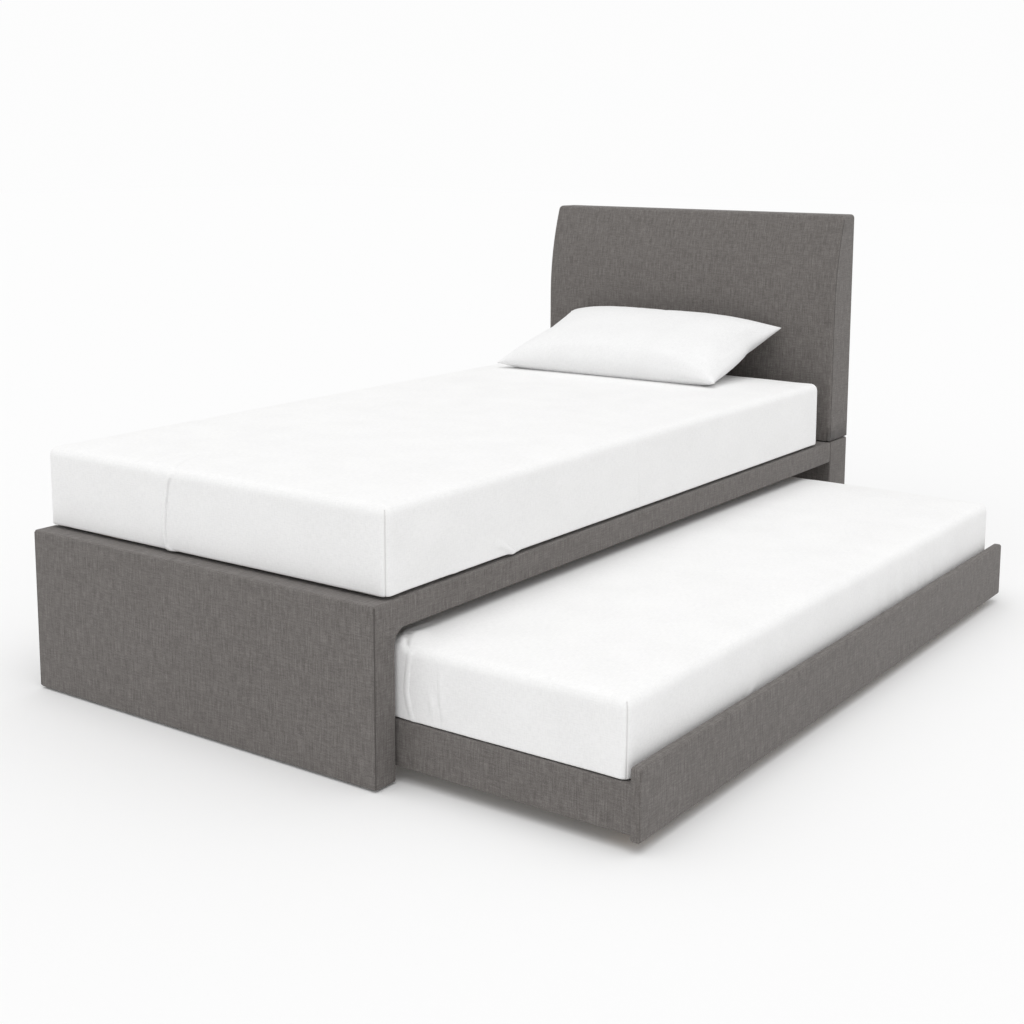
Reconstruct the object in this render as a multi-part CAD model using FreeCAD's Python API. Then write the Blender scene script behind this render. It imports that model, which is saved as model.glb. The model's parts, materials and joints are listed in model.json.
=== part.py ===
"""Upholstered single bed with a pull-out trundle bed that rolls under it.

Millimetres, +Z up. The bed lies along Y with its head end at +Y. The open side,
where the trundle comes out, is at +X. Shapes are drawn in the bed's own frame:
X = 0 is the middle of the upper bed, Y = 0 is the outer face of the foot panel and
Z = 0 is the floor. They are moved to the reference point when they are written: the
middle of the bottom of the whole object's box, with the trundle pulled out.
"""

import FreeCAD, Part

import math
import os

from FreeCAD import Vector

# ---- driving dimensions ----------------------------------------------------------

# Upper bed
BED_WIDTH = 990.0
PANEL_TOP = 364.0
GLIDE_HEIGHT = 4.0
FOOT_THICKNESS = 60.0
BAY_LENGTH = 1945.0
HEAD_THICKNESS = 112.0
BACK_THICKNESS = 50.0
RAIL_WIDTH = 50.0
RAIL_HEIGHT = 60.0
RAIL_CORNER_RADIUS = 22.0

# Cloth and boards
COVER = 3.0
COVER_EDGE_RADIUS = 6.0
PLY = 6.0
BOARD_EDGE_RADIUS = 5.0
TIMBER_WIDTH = 45.0
STILE_PITCH = 190.0

# Headboard
HEADBOARD_TOP = 1020.0
HEADBOARD_SEAM = 4.0
HEADBOARD_BASE_DEPTH = 126.0
HEADBOARD_BEND_Z = 740.0
HEADBOARD_BEND_RADIUS = 800.0
HEADBOARD_CLOTH = 2.0
HEADBOARD_FOAM = 14.0
HEADBOARD_FRONT_PLY = 4.0
HEADBOARD_BACK_BOARD = 9.0
HEADBOARD_CORNER_RADIUS = 10.0
DUST_CLOTH = 1.0
DUST_CLOTH_INSET = 8.0
RIB_THICKNESS = 22.0
RIB_COUNT = 4
TIE_WIDTH = 40.0
TIE_LENGTH = 320.0
TIE_THICKNESS = 4.0
TIE_X = 300.0
TIE_HOLE_STEPS = (40.0, 100.0)
TIE_SCREW_BITE = 12.0

# Upper mattress and pillow
MATTRESS_WIDTH = 990.0
MATTRESS_LENGTH = 1894.0
MATTRESS_HEIGHT = 182.0
MATTRESS_Y = 34.0
MATTRESS_CORNER_RADIUS = 16.0
MATTRESS_EDGE_RADIUS = 12.0
PILLOW_X = (-408.0, 345.0)
PILLOW_Y = (1596.0, 1984.0)
PILLOW_FRONT_Z = 562.0
PILLOW_BACK_Z = 697.0
PILLOW_RISE = 62.0

# Slats and their ledgers
LEDGER_WIDTH = 25.0
LEDGER_HEIGHT = 30.0
LEDGER_END_GAP = 60.0
SLAT_WIDTH = 68.0
SLAT_THICKNESS = 18.0
SLAT_COUNT = 13
SLAT_SIDE_GAP = 2.0
SLAT_EDGE_RADIUS = 2.0

# Corner brackets and glides
BRACKET_LEG = 48.0
BRACKET_HEIGHT = 44.0
BRACKET_STEEL = 3.0
BRACKET_RISE = 8.0
BRACKET_HOLE_STEPS = (16.0, 36.0)
BRACKET_HOLE_OFFSET = 10.0
BRACKET_SCREW_BITE = 20.0
GLIDE_RADIUS = 15.0
GLIDE_SIDE_INSET = 37.5
BACK_GLIDE_END_GAP = 480.0
BACK_GLIDE_COUNT = 3

# Trundle. Its X places are for the pulled-out position.
TRUNDLE_OUT = 542.0
FASCIA_Y = (63.0, 1927.0)
FASCIA_BOTTOM = 22.0
FASCIA_TOP = 159.0
FASCIA_THICKNESS = 22.0
FRAME_INSET = 3.0
FRAME_BOTTOM = 32.0
FRAME_TOP = 126.0
FRAME_DEPTH = 908.0
FRAME_BOARD = 20.0
TRUNDLE_LEDGER_WIDTH = 22.0
TRUNDLE_LEDGER_HEIGHT = 24.0
TRUNDLE_SLAT_COUNT = 12
TRUNDLE_SLAT_MARGIN = 30.0
CORNER_BLOCK = 36.0
CORNER_BLOCK_BOTTOM = 38.0
FASCIA_SCREW_COUNT = 4
FASCIA_SCREW_END_GAP = 240.0
FASCIA_SCREW_Z = 60.0
FASCIA_SCREW_BITE = 10.0
TRUNDLE_MATTRESS_WIDTH = 860.0
TRUNDLE_MATTRESS_Y = (64.0, 1896.0)
TRUNDLE_MATTRESS_HEIGHT = 150.0
TRUNDLE_MATTRESS_GAP = 3.0

# Casters
WHEEL_RADIUS = 25.0
WHEEL_WIDTH = 19.0
TYRE_EDGE_RADIUS = 2.0
HUB_RADIUS = 18.0
HUB_FLANGE = 1.0
AXLE_RADIUS = 4.0
AXLE_CLEARANCE = 0.05
AXLE_HEAD_RADIUS = 6.5
AXLE_HEAD = 2.5
FORK_GAP = 23.0
FORK_STEEL = 2.5
FORK_EYE_RADIUS = 10.0
FORK_REACH = 30.0
PLATE_WIDTH = 62.0
PLATE_BOTTOM = 38.0
PLATE_TOP = 80.0
PLATE_CORNER_RADIUS = 5.0
PLATE_HOLE_INSET = 9.0
PLATE_SCREW_BITE = 14.0
CHEEK_TOP = 74.0
CHEEK_TOP_REACH = 14.0
CHEEK_FOOT = 42.0
CASTER_END_GAP = 150.0

# Screws: shank radius, head radius, head height
WOOD_SCREW = (2.0, 4.0, 2.0)
TIE_SCREW = (3.0, 6.5, 3.0)

# ---- places worked out from them --------------------------------------------------

HALF_WIDTH = BED_WIDTH / 2
BAY_Y = (FOOT_THICKNESS, FOOT_THICKNESS + BAY_LENGTH)
BED_LENGTH = BAY_Y[1] + HEAD_THICKNESS
BACK_INNER_X = -HALF_WIDTH + BACK_THICKNESS
RAIL_INNER_X = HALF_WIDTH - RAIL_WIDTH
RAIL_BOTTOM = PANEL_TOP - RAIL_HEIGHT
SLAT_BOTTOM = PANEL_TOP - SLAT_THICKNESS
HEADBOARD_BOTTOM = PANEL_TOP + HEADBOARD_SEAM
FASCIA_X = HALF_WIDTH + TRUNDLE_OUT
FRAME_FRONT_X = FASCIA_X - FASCIA_THICKNESS
FRAME_REAR_X = FRAME_FRONT_X - FRAME_DEPTH
FRAME_Y = (FASCIA_Y[0] + FRAME_INSET, FASCIA_Y[1] - FRAME_INSET)
OBJECT_BACK_Y = BED_LENGTH + TIE_THICKNESS + TIE_SCREW[2]
REFERENCE = Vector(
    (FASCIA_X - HALF_WIDTH) / 2,
    OBJECT_BACK_Y / 2,
    0,
)
ALONG = {"x": Vector(1, 0, 0), "y": Vector(0, 1, 0), "z": Vector(0, 0, 1)}
OVERSIZE = 20.0
TOLERANCE = 1e-3


# ---- helpers ----------------------------------------------------------------------

def box(x, y, z):
    """A box from three (low, high) pairs."""
    size = [high - low for low, high in (x, y, z)]
    return Part.makeBox(*size, Vector(x[0], y[0], z[0]))


def shrunk(pair, amount):
    return pair[0] + amount, pair[1] - amount


def rod(centre, axis, radius, length):
    """A cylinder that starts at centre and runs along axis."""
    return Part.makeCylinder(radius, length, Vector(*centre), axis)


def parallel(edge, axis):
    """Whether an edge is straight and runs along axis."""
    if edge.Curve.TypeId != "Part::GeomLine":
        return False
    direction = edge.Vertexes[-1].Point - edge.Vertexes[0].Point
    return abs(abs(direction.normalize().dot(axis)) - 1) < 1e-6


def rounded(shape, radius, keep=lambda edge: True):
    """The shape with every edge that keep() chooses rounded."""
    return shape.makeFillet(radius, [edge for edge in shape.Edges if keep(edge)])


def spaced(low, high, count):
    """count evenly spaced values from low to high."""
    return [low + (high - low) * i / (count - 1) for i in range(count)]


def screw(head_at, direction, length, kind):
    """A screw whose head stands on the surface at head_at; its shank runs along direction."""
    shank_radius, head_radius, head_height = kind
    shank = rod(head_at, direction, shank_radius, length)
    head = rod(head_at, direction * -1, head_radius, head_height)
    return shank.fuse(head).removeSplitter()


def drilled(shape, screws):
    """The shape with a hole for each screw that enters it."""
    for one in screws:
        if shape.BoundBox.intersect(one.BoundBox):
            shape = shape.cut(one)
    return shape


def group(solids):
    return Part.makeCompound(list(solids))


# ---- panels of the upper bed --------------------------------------------------------

def timber_frame(along, across, z, lengthwise):
    """The rails and stiles inside a panel, as separate bars.

    along is the panel's (low, high) span, lengthwise the axis it runs on, and across
    its (low, high) span through the thickness.
    """
    def bar(span, height):
        return box(span, across, height) if lengthwise == "x" else box(across, span, height)

    bars = [
        bar(along, (z[0], z[0] + TIMBER_WIDTH)),
        bar(along, (z[1] - TIMBER_WIDTH, z[1])),
    ]
    count = math.ceil((along[1] - along[0]) / (STILE_PITCH + TIMBER_WIDTH)) + 1
    for start in spaced(along[0], along[1] - TIMBER_WIDTH, count):
        height = (z[0] + TIMBER_WIDTH, z[1] - TIMBER_WIDTH)
        bars.append(bar((start, start + TIMBER_WIDTH), height))
    return group(bars)


def board(x, y, z, face):
    """A board across the bed with the upright edges of its outer face, at Y = face, rounded."""
    def keep(edge):
        return parallel(edge, ALONG["z"]) and abs(edge.CenterOfMass.y - face) < TOLERANCE

    return rounded(box(x, y, z), BOARD_EDGE_RADIUS, keep)


def panel(name, x, y, z, thin):
    """The frame and two boards of a panel whose thin side runs along the axis thin."""
    x, y, z = (shrunk(pair, COVER) for pair in (x, y, z))
    low, high = x if thin == "x" else y
    inside = (low + PLY, high - PLY)
    outer, inner = (low, low + PLY), (high - PLY, high)
    if name == "head":
        outer, inner = inner, outer
    if thin == "x":
        return {
            f"{name}_frame": timber_frame(y, inside, z, "y"),
            f"{name}_outer_board": box(outer, y, z),
            f"{name}_inner_board": box(inner, y, z),
        }
    return {
        f"{name}_frame": timber_frame(x, inside, z, "x"),
        f"{name}_outer_board": board(x, outer, z, low if outer[0] == low else high),
        f"{name}_inner_board": board(x, inner, z, low if inner[0] == low else high),
    }


def cover(x, y, z):
    """A padded cloth skin round a box-shaped core."""
    skin = rounded(box(x, y, z), COVER_EDGE_RADIUS)
    return skin.cut(box(*(shrunk(pair, COVER) for pair in (x, y, z))))


FULL_WIDTH = (-HALF_WIDTH, HALF_WIDTH)
PANEL_Z = (GLIDE_HEIGHT, PANEL_TOP)
FOOT_SPAN = (FULL_WIDTH, (0.0, FOOT_THICKNESS), PANEL_Z)
HEAD_SPAN = (FULL_WIDTH, (BAY_Y[1], BED_LENGTH), PANEL_Z)
BACK_SPAN = ((-HALF_WIDTH, BACK_INNER_X), BAY_Y, PANEL_Z)
RAIL_SPAN = ((RAIL_INNER_X, HALF_WIDTH), BAY_Y, (RAIL_BOTTOM, PANEL_TOP))


def gusset(outset):
    """The block that fills the rounded corner under the rail, thinner all round by outset."""
    x = (RAIL_INNER_X + outset, HALF_WIDTH - outset)
    corner = Vector(x[0], BAY_Y[0], RAIL_BOTTOM)
    reach = RAIL_CORNER_RADIUS + COVER
    block = box(x, (corner.y - COVER, corner.y + reach), (corner.z - reach, corner.z + COVER))
    centre = (x[0] - OVERSIZE, corner.y + reach, corner.z - reach)
    radius = RAIL_CORNER_RADIUS + COVER + outset
    hollow = rod(centre, ALONG["x"], radius, RAIL_WIDTH + 2 * OVERSIZE)
    return block.cut(hollow)


def rail_and_gusset():
    x, y, z = RAIL_SPAN
    rail = box(shrunk(x, COVER), (y[0], y[1] - COVER), shrunk(z, COVER))
    block = gusset(COVER).cut(rail).cut(box(*(shrunk(p, COVER) for p in FOOT_SPAN)))
    block = max(block.Solids, key=lambda solid: solid.Volume)
    return {"side_rail": rail, "rail_gusset": block}


def foot_rail_cover(cores):
    """One cloth skin over the foot panel, the rail and the rounded corner between them."""
    foot = box(*FOOT_SPAN)
    rail = box(RAIL_SPAN[0], (BAY_Y[0] - COVER_EDGE_RADIUS, BAY_Y[1]), RAIL_SPAN[2])
    skin = foot.fuse(rail).fuse(gusset(0.0)).removeSplitter()
    skin = rounded(skin, COVER_EDGE_RADIUS, outer_edge)
    inside = box(*(shrunk(pair, COVER) for pair in FOOT_SPAN))
    return skin.cut(inside.fuse(cores["side_rail"]).fuse(cores["rail_gusset"]))


def outer_edge(edge):
    """The foot panel's outer edges and the rail's long top and bottom outer edges."""
    middle = edge.CenterOfMass
    on_side = abs(middle.x - HALF_WIDTH) < TOLERANCE
    on_front = abs(middle.y) < TOLERANCE
    return on_front or (on_side and parallel(edge, ALONG["y"]) and middle.z > PANEL_TOP - 1)


# ---- headboard -------------------------------------------------------------------

def headboard_block(setback, x, z, back):
    """A block with the headboard's curved front, set back by setback.

    The front stands upright up to HEADBOARD_BEND_Z and curves back above it.
    """
    def front(level):
        rise = max(0.0, level - HEADBOARD_BEND_Z)
        bow = HEADBOARD_BEND_RADIUS - math.sqrt(HEADBOARD_BEND_RADIUS ** 2 - rise ** 2)
        return Vector(x[0], BED_LENGTH - HEADBOARD_BASE_DEPTH + setback + bow, level)

    low, bend, high = front(z[0]), front(HEADBOARD_BEND_Z), front(z[1])
    middle = front((HEADBOARD_BEND_Z + z[1]) / 2)
    back_high, back_low = Vector(x[0], back, z[1]), Vector(x[0], back, z[0])
    outline = Part.Wire([
        Part.makeLine(low, bend),
        Part.Arc(bend, middle, high).toShape(),
        Part.makeLine(high, back_high),
        Part.makeLine(back_high, back_low),
        Part.makeLine(back_low, low),
    ])
    return Part.Face(outline).extrude(Vector(x[1] - x[0], 0, 0))


def top_corner(edge):
    """The two edges that run from front to back along the headboard's top."""
    return parallel(edge, ALONG["y"]) and edge.CenterOfMass.z > HEADBOARD_TOP - HEADBOARD_CORNER_RADIUS


def headboard():
    z = (HEADBOARD_BOTTOM, HEADBOARD_TOP)
    inner_x, inner_z = shrunk(FULL_WIDTH, HEADBOARD_CLOTH), shrunk(z, HEADBOARD_CLOTH)
    cloth_back = BED_LENGTH - DUST_CLOTH
    board_front = cloth_back - HEADBOARD_BACK_BOARD
    foam_front = HEADBOARD_CLOTH
    ply_front = foam_front + HEADBOARD_FOAM
    rib_front = ply_front + HEADBOARD_FRONT_PLY

    def block(setback, back):
        return headboard_block(setback, inner_x, inner_z, back)

    outer = headboard_block(0.0, FULL_WIDTH, z, cloth_back)
    outer = rounded(outer, HEADBOARD_CORNER_RADIUS, top_corner)
    hollow = block(foam_front, cloth_back + OVERSIZE)
    hollow = rounded(hollow, HEADBOARD_CORNER_RADIUS - HEADBOARD_CLOTH, top_corner)
    body = block(foam_front, cloth_back).common(hollow)
    foam = body.cut(block(ply_front, cloth_back + OVERSIZE))
    front_ply = body.common(block(ply_front, board_front)).cut(block(rib_front, board_front))
    back_board = body.common(box(inner_x, (board_front, cloth_back), inner_z))
    ribs = []
    for start in spaced(inner_x[0], inner_x[1] - RIB_THICKNESS, RIB_COUNT):
        rib = headboard_block(rib_front, (start, start + RIB_THICKNESS), inner_z, board_front)
        ribs.append(rib.common(hollow))
    cloth = box(
        shrunk(FULL_WIDTH, DUST_CLOTH_INSET),
        (cloth_back, BED_LENGTH),
        shrunk(z, DUST_CLOTH_INSET),
    )
    return {
        "headboard_cover": outer.cut(hollow),
        "headboard_foam": foam,
        "headboard_front_ply": front_ply,
        "headboard_ribs": group(ribs),
        "headboard_back_board": back_board,
        "headboard_dust_cloth": cloth,
    }


def tie_plates():
    """Two steel plates that hold the headboard on the head panel, with their screws."""
    seam = PANEL_TOP + HEADBOARD_SEAM / 2
    plates, screws = [], []
    for x in (-TIE_X, TIE_X):
        across = (x - TIE_WIDTH / 2, x + TIE_WIDTH / 2)
        height = (seam - TIE_LENGTH / 2, seam + TIE_LENGTH / 2)
        plate = box(across, (BED_LENGTH, BED_LENGTH + TIE_THICKNESS), height)
        plate = rounded(plate, TIE_WIDTH / 4, lambda edge: parallel(edge, ALONG["y"]))
        for step in TIE_HOLE_STEPS:
            for z in (seam - step, seam + step):
                at = (x, BED_LENGTH + TIE_THICKNESS, z)
                screws.append(screw(at, ALONG["y"] * -1, TIE_THICKNESS + TIE_SCREW_BITE, TIE_SCREW))
        plates.append(drilled(plate, screws))
    return {"tie_plates": group(plates), "tie_plate_screws": group(screws)}, screws


# ---- slats, brackets and glides -------------------------------------------------------

def ledgers_and_slats():
    span = shrunk(BAY_Y, LEDGER_END_GAP)
    height = (SLAT_BOTTOM - LEDGER_HEIGHT, SLAT_BOTTOM)
    slats = []
    for y in spaced(span[0], span[1] - SLAT_WIDTH, SLAT_COUNT):
        slat = box(
            (BACK_INNER_X + SLAT_SIDE_GAP, RAIL_INNER_X - SLAT_SIDE_GAP),
            (y, y + SLAT_WIDTH),
            (SLAT_BOTTOM, PANEL_TOP),
        )
        slats.append(rounded(slat, SLAT_EDGE_RADIUS, lambda edge: parallel(edge, ALONG["x"])))
    return {
        "rail_ledger": box((RAIL_INNER_X - LEDGER_WIDTH, RAIL_INNER_X), span, height),
        "back_ledger": box((BACK_INNER_X, BACK_INNER_X + LEDGER_WIDTH), span, height),
        "bed_slats": group(slats),
    }


def corner_brackets():
    """Four steel angles that join the rail and the back panel to the end panels."""
    z = (RAIL_BOTTOM + BRACKET_RISE, RAIL_BOTTOM + BRACKET_RISE + BRACKET_HEIGHT)
    length = BRACKET_STEEL + BRACKET_SCREW_BITE
    middle = (z[0] + z[1]) / 2
    brackets, screws = [], []
    for x_at, x_way in ((RAIL_INNER_X, -1), (BACK_INNER_X, 1)):
        for y_at, y_way in ((BAY_Y[0], 1), (BAY_Y[1], -1)):
            x_leg = sorted((x_at, x_at + x_way * BRACKET_LEG))
            y_leg = sorted((y_at, y_at + y_way * BRACKET_LEG))
            x_thin = sorted((x_at, x_at + x_way * BRACKET_STEEL))
            y_thin = sorted((y_at, y_at + y_way * BRACKET_STEEL))
            angle = box(x_leg, y_thin, z).fuse(box(x_thin, y_leg, z)).removeSplitter()
            own = []
            for step in BRACKET_HOLE_STEPS:
                at = (x_at + x_way * step, y_at + y_way * BRACKET_STEEL, middle)
                own.append(screw(at, ALONG["y"] * -y_way, length, WOOD_SCREW))
                at = (x_at + x_way * BRACKET_STEEL, y_at + y_way * step, middle + BRACKET_HOLE_OFFSET)
                own.append(screw(at, ALONG["x"] * -x_way, length, WOOD_SCREW))
            brackets.append(drilled(angle, own))
            screws += own
    return {"corner_brackets": group(brackets), "corner_bracket_screws": group(screws)}, screws


def floor_glides():
    """Plastic glides under the three panels that stand on the floor."""
    places = []
    side = HALF_WIDTH - GLIDE_SIDE_INSET
    for y in (FOOT_THICKNESS / 2, BAY_Y[1] + HEAD_THICKNESS / 2):
        places += [(x, y, 0.0) for x in (-side, 0.0, side)]
    middle = -HALF_WIDTH + BACK_THICKNESS / 2
    span = shrunk(BAY_Y, BACK_GLIDE_END_GAP)
    places += [(middle, y, 0.0) for y in spaced(*span, BACK_GLIDE_COUNT)]
    return group(rod(at, ALONG["z"], GLIDE_RADIUS, GLIDE_HEIGHT) for at in places)


# ---- mattresses and pillow --------------------------------------------------------

def mattress(x, y, z):
    block = rounded(box(x, y, z), MATTRESS_CORNER_RADIUS, lambda edge: parallel(edge, ALONG["z"]))
    rims = [edge for edge in block.Edges if not parallel(edge, ALONG["z"])]
    return block.makeFillet(MATTRESS_EDGE_RADIUS, rims)


def pillow():
    """A plain cushion section, low at the front and leaning on the headboard behind."""
    low = Vector(PILLOW_X[0], PILLOW_Y[0], PILLOW_FRONT_Z)
    high = Vector(PILLOW_X[0], PILLOW_Y[1], PILLOW_BACK_Z)
    mid_y = (low.y + high.y) / 2
    mid_z = (low.z + high.z) / 2
    over = Vector(low.x, mid_y, mid_z + PILLOW_RISE)
    under = Vector(low.x, mid_y, mid_z - PILLOW_RISE)
    outline = Part.Wire([
        Part.Arc(low, over, high).toShape(),
        Part.Arc(high, under, low).toShape(),
    ])
    return Part.Face(outline).extrude(Vector(PILLOW_X[1] - PILLOW_X[0], 0, 0))


# ---- trundle ---------------------------------------------------------------------

def fascia():
    x, z = (FRAME_FRONT_X, FASCIA_X), (FASCIA_BOTTOM, FASCIA_TOP)
    core = box(*(shrunk(pair, COVER) for pair in (x, FASCIA_Y, z)))
    return {
        "fascia_board": rounded(core, BOARD_EDGE_RADIUS),
        "fascia_cover": cover(x, FASCIA_Y, z),
    }


def trundle_frame():
    """Front rail, rear rail, two end boards and the cloth that wraps all but the front."""
    z = (FRAME_BOTTOM, FRAME_TOP)
    inner_z = shrunk(z, COVER)
    rear = FRAME_REAR_X + COVER
    y = shrunk(FRAME_Y, COVER)
    front_rail_x = (FRAME_FRONT_X - FRAME_BOARD, FRAME_FRONT_X)
    rear_rail_x = (rear, rear + FRAME_BOARD)
    end_x = (rear_rail_x[1], front_rail_x[0])
    wrapped = box((FRAME_REAR_X, FRAME_FRONT_X), FRAME_Y, z)
    wrapped = rounded(wrapped, COVER_EDGE_RADIUS / 2, rear_or_end_edge)
    hollow = box((rear + FRAME_BOARD, FRAME_FRONT_X), shrunk(y, FRAME_BOARD), shrunk(z, -OVERSIZE))
    core = box((rear, FRAME_FRONT_X + OVERSIZE), y, inner_z)
    skin = wrapped.cut(hollow).cut(core)
    return {
        "trundle_front_rail": box(front_rail_x, y, inner_z),
        "trundle_rear_rail": box(rear_rail_x, y, inner_z),
        "trundle_foot_end": box(end_x, (y[0], y[0] + FRAME_BOARD), inner_z),
        "trundle_head_end": box(end_x, (y[1] - FRAME_BOARD, y[1]), inner_z),
        "trundle_cover": skin,
    }


def rear_or_end_edge(edge):
    """The long outer edges along the trundle's rear and its two ends."""
    middle = edge.CenterOfMass
    on_rear = abs(middle.x - FRAME_REAR_X) < TOLERANCE
    on_end = any(abs(middle.y - y) < TOLERANCE for y in FRAME_Y)
    on_front = abs(middle.x - FRAME_FRONT_X) < TOLERANCE
    return (on_rear or on_end) and not on_front


def trundle_inside():
    """Ledgers, slats and corner blocks inside the trundle's frame."""
    y = shrunk(FRAME_Y, COVER + FRAME_BOARD)
    x = (FRAME_REAR_X + COVER + FRAME_BOARD, FRAME_FRONT_X - FRAME_BOARD)
    top = (FRAME_TOP - SLAT_THICKNESS, FRAME_TOP)
    height = (top[0] - TRUNDLE_LEDGER_HEIGHT, top[0])
    slats, blocks = [], []
    span = shrunk(y, TRUNDLE_SLAT_MARGIN)
    for start in spaced(span[0], span[1] - SLAT_WIDTH, TRUNDLE_SLAT_COUNT):
        slat = box(shrunk(x, SLAT_SIDE_GAP), (start, start + SLAT_WIDTH), top)
        slats.append(rounded(slat, SLAT_EDGE_RADIUS, lambda edge: parallel(edge, ALONG["x"])))
    for x_pair in ((x[0], x[0] + CORNER_BLOCK), (x[1] - CORNER_BLOCK, x[1])):
        for y_pair in ((y[0], y[0] + CORNER_BLOCK), (y[1] - CORNER_BLOCK, y[1])):
            blocks.append(box(x_pair, y_pair, (CORNER_BLOCK_BOTTOM, height[0])))
    return {
        "trundle_front_ledger": box((x[1] - TRUNDLE_LEDGER_WIDTH, x[1]), y, height),
        "trundle_rear_ledger": box((x[0], x[0] + TRUNDLE_LEDGER_WIDTH), y, height),
        "trundle_slats": group(slats),
        "trundle_corner_blocks": group(blocks),
    }


def fascia_screws():
    """Screws from inside the front rail into the fascia board."""
    at_x = FRAME_FRONT_X - FRAME_BOARD
    length = FRAME_BOARD + COVER + FASCIA_SCREW_BITE
    places = spaced(*shrunk(FRAME_Y, FASCIA_SCREW_END_GAP), FASCIA_SCREW_COUNT)
    return [screw((at_x, y, FASCIA_SCREW_Z), ALONG["x"], length, WOOD_SCREW) for y in places]


# ---- casters ---------------------------------------------------------------------

def caster_places():
    """name -> (x of the rail face that the caster is screwed to, way it stands, y)."""
    y = shrunk(FRAME_Y, CASTER_END_GAP)
    rows = {
        "front": (FRAME_FRONT_X - FRAME_BOARD, -1),
        "rear": (FRAME_REAR_X + COVER + FRAME_BOARD, 1),
    }
    ends = {"foot": y[0], "mid": (y[0] + y[1]) / 2, "head": y[1]}
    return {
        f"{row}_{end}": (*rows[row], ends[end])
        for row in rows
        for end in ends
    }


def caster_bracket(x, way, y, screws):
    """A pressed steel bracket: a back plate with two cheeks that hold the axle."""
    wheel_x = x + way * (FORK_STEEL + FORK_REACH)
    plate = box(
        sorted((x, x + way * FORK_STEEL)),
        (y - PLATE_WIDTH / 2, y + PLATE_WIDTH / 2),
        (PLATE_BOTTOM, PLATE_TOP),
    )
    shape = rounded(plate, PLATE_CORNER_RADIUS, lambda edge: parallel(edge, ALONG["x"]))
    for side in (-1, 1):
        face_y = y + side * (FORK_GAP / 2 if side > 0 else FORK_GAP / 2 + FORK_STEEL)
        shape = shape.fuse(cheek(x, way, wheel_x, face_y))
    shape = shape.removeSplitter()
    hole = rod((wheel_x, y - PLATE_WIDTH, WHEEL_RADIUS), ALONG["y"], AXLE_RADIUS, 2 * PLATE_WIDTH)
    return drilled(shape.cut(hole), screws)


def cheek(x, way, wheel_x, y):
    """One cheek: from the plate down to a round eye about the axle."""
    eye = Vector(wheel_x, y, WHEEL_RADIUS)
    corners = [
        Vector(x, y, CHEEK_TOP),
        Vector(x + way * CHEEK_TOP_REACH, y, CHEEK_TOP),
        Vector(wheel_x + way * FORK_EYE_RADIUS, y, WHEEL_RADIUS),
        Vector(wheel_x - way * FORK_EYE_RADIUS, y, WHEEL_RADIUS),
        Vector(x, y, CHEEK_FOOT),
    ]
    outline = Part.makePolygon(corners + corners[:1])
    web = Part.Face(outline).extrude(Vector(0, FORK_STEEL, 0))
    return web.fuse(rod(eye, ALONG["y"], FORK_EYE_RADIUS, FORK_STEEL)).removeSplitter()


def caster_plate_screws(x, way, y):
    places = [
        (x + way * FORK_STEEL, y + side * (PLATE_WIDTH / 2 - PLATE_HOLE_INSET), z)
        for side in (-1, 1)
        for z in (PLATE_BOTTOM + PLATE_HOLE_INSET, PLATE_TOP - PLATE_HOLE_INSET)
    ]
    length = FORK_STEEL + PLATE_SCREW_BITE
    return [screw(at, ALONG["x"] * -way, length, WOOD_SCREW) for at in places]


def axle(wheel_x, y):
    """A riveted axle with a head on each cheek."""
    half = FORK_GAP / 2 + FORK_STEEL
    start = (wheel_x, y - half, WHEEL_RADIUS)
    shape = rod(start, ALONG["y"], AXLE_RADIUS, 2 * half)
    for at, way in ((y - half, -1), (y + half, 1)):
        head = rod((wheel_x, at, WHEEL_RADIUS), ALONG["y"] * way, AXLE_HEAD_RADIUS, AXLE_HEAD)
        shape = shape.fuse(head)
    return shape.removeSplitter()


def hub(wheel_x, y):
    """A moulded hub with a bore that runs on the axle and a raised boss each side."""
    half = WHEEL_WIDTH / 2
    start = (wheel_x, y - half, WHEEL_RADIUS)
    shape = rod(start, ALONG["y"], HUB_RADIUS, WHEEL_WIDTH)
    boss_start = (wheel_x, y - half - HUB_FLANGE, WHEEL_RADIUS)
    boss = rod(boss_start, ALONG["y"], HUB_RADIUS / 2, WHEEL_WIDTH + 2 * HUB_FLANGE)
    bore_radius = AXLE_RADIUS + AXLE_CLEARANCE
    bore = rod((wheel_x, y - FORK_GAP, WHEEL_RADIUS), ALONG["y"], bore_radius, 2 * FORK_GAP)
    return shape.fuse(boss).removeSplitter().cut(bore)


def tyre(wheel_x, y):
    half = WHEEL_WIDTH / 2
    start = (wheel_x, y - half, WHEEL_RADIUS)
    ring = rod(start, ALONG["y"], WHEEL_RADIUS, WHEEL_WIDTH)
    rims = [edge for edge in ring.Edges if edge.Curve.TypeId == "Part::GeomCircle"]
    ring = ring.makeFillet(TYRE_EDGE_RADIUS, rims)
    return ring.cut(rod(start, ALONG["y"], HUB_RADIUS, WHEEL_WIDTH))


def casters():
    """All six casters: grouped brackets, axles and screws, and each wheel on its own."""
    brackets, axles, screws, wheels = [], [], [], {}
    for name, (x, way, y) in caster_places().items():
        wheel_x = x + way * (FORK_STEEL + FORK_REACH)
        own = caster_plate_screws(x, way, y)
        brackets.append(caster_bracket(x, way, y, own))
        axles.append(axle(wheel_x, y))
        screws += own
        wheels[f"hub_{name}"] = hub(wheel_x, y)
        wheels[f"tyre_{name}"] = tyre(wheel_x, y)
    grouped = {
        "caster_brackets": group(brackets),
        "caster_axles": group(axles),
        "caster_screws": group(screws),
    }
    return grouped | wheels, screws


# ---- assembly --------------------------------------------------------------------

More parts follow.
